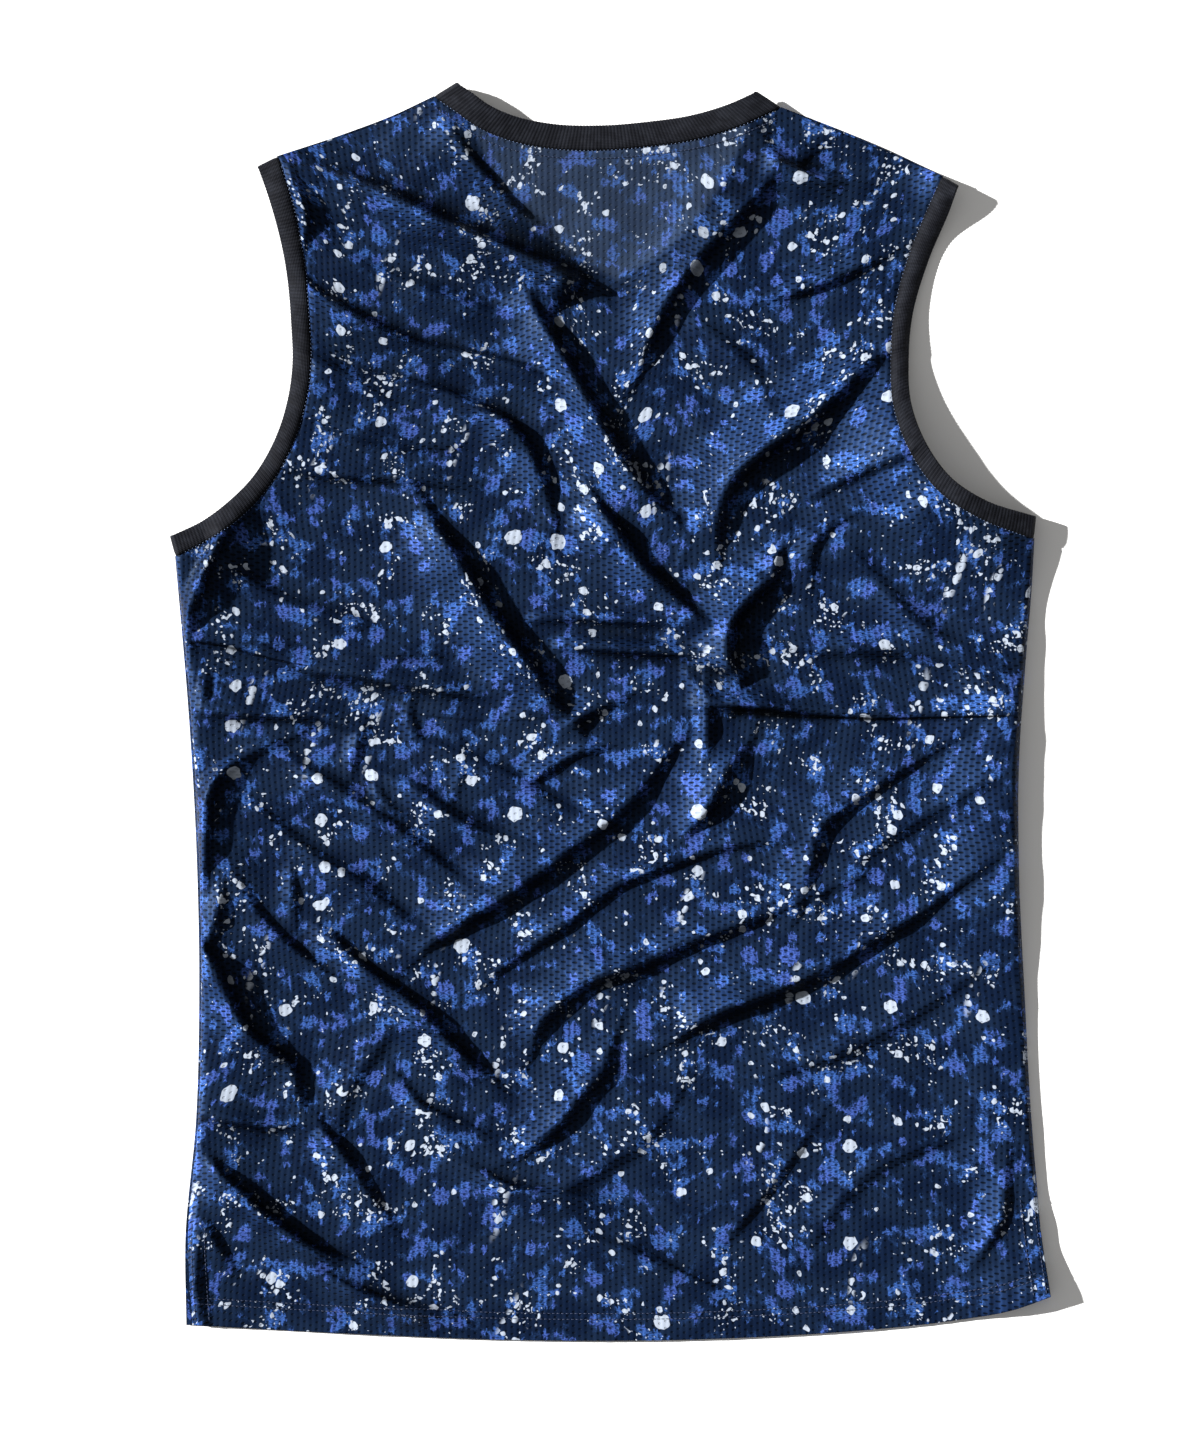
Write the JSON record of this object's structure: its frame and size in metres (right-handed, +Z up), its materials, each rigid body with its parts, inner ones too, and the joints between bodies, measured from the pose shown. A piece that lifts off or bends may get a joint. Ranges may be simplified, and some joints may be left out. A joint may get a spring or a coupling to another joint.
{
  "type": "running singlet laid flat",
  "caption": "Sleeveless mesh-knit running top with ribbed neck and armholes, V front and side vents, lying flat with its back up.",
  "frame": {"origin": "bottom centre of the bounding box, on the surface that the garment lies on", "axes": "+Z up out of the surface; +Y from the hem to the neck; +X to the right as seen with the back panel up"},
  "size_m": [0.5087, 0.7267, 0.0216],
  "materials": {
    "mesh_knit": "navy jacquard mesh printed with blue and white splatter, slight sheen",
    "rib_knit": "black ribbed knit, matte"
  },
  "bodies": {
    "root": {"front_panel": "mesh_knit", "back_panel": "mesh_knit", "neck_rib": "rib_knit", "armhole_rib_left": "rib_knit", "armhole_rib_right": "rib_knit"}
  },
  "joints": []
}
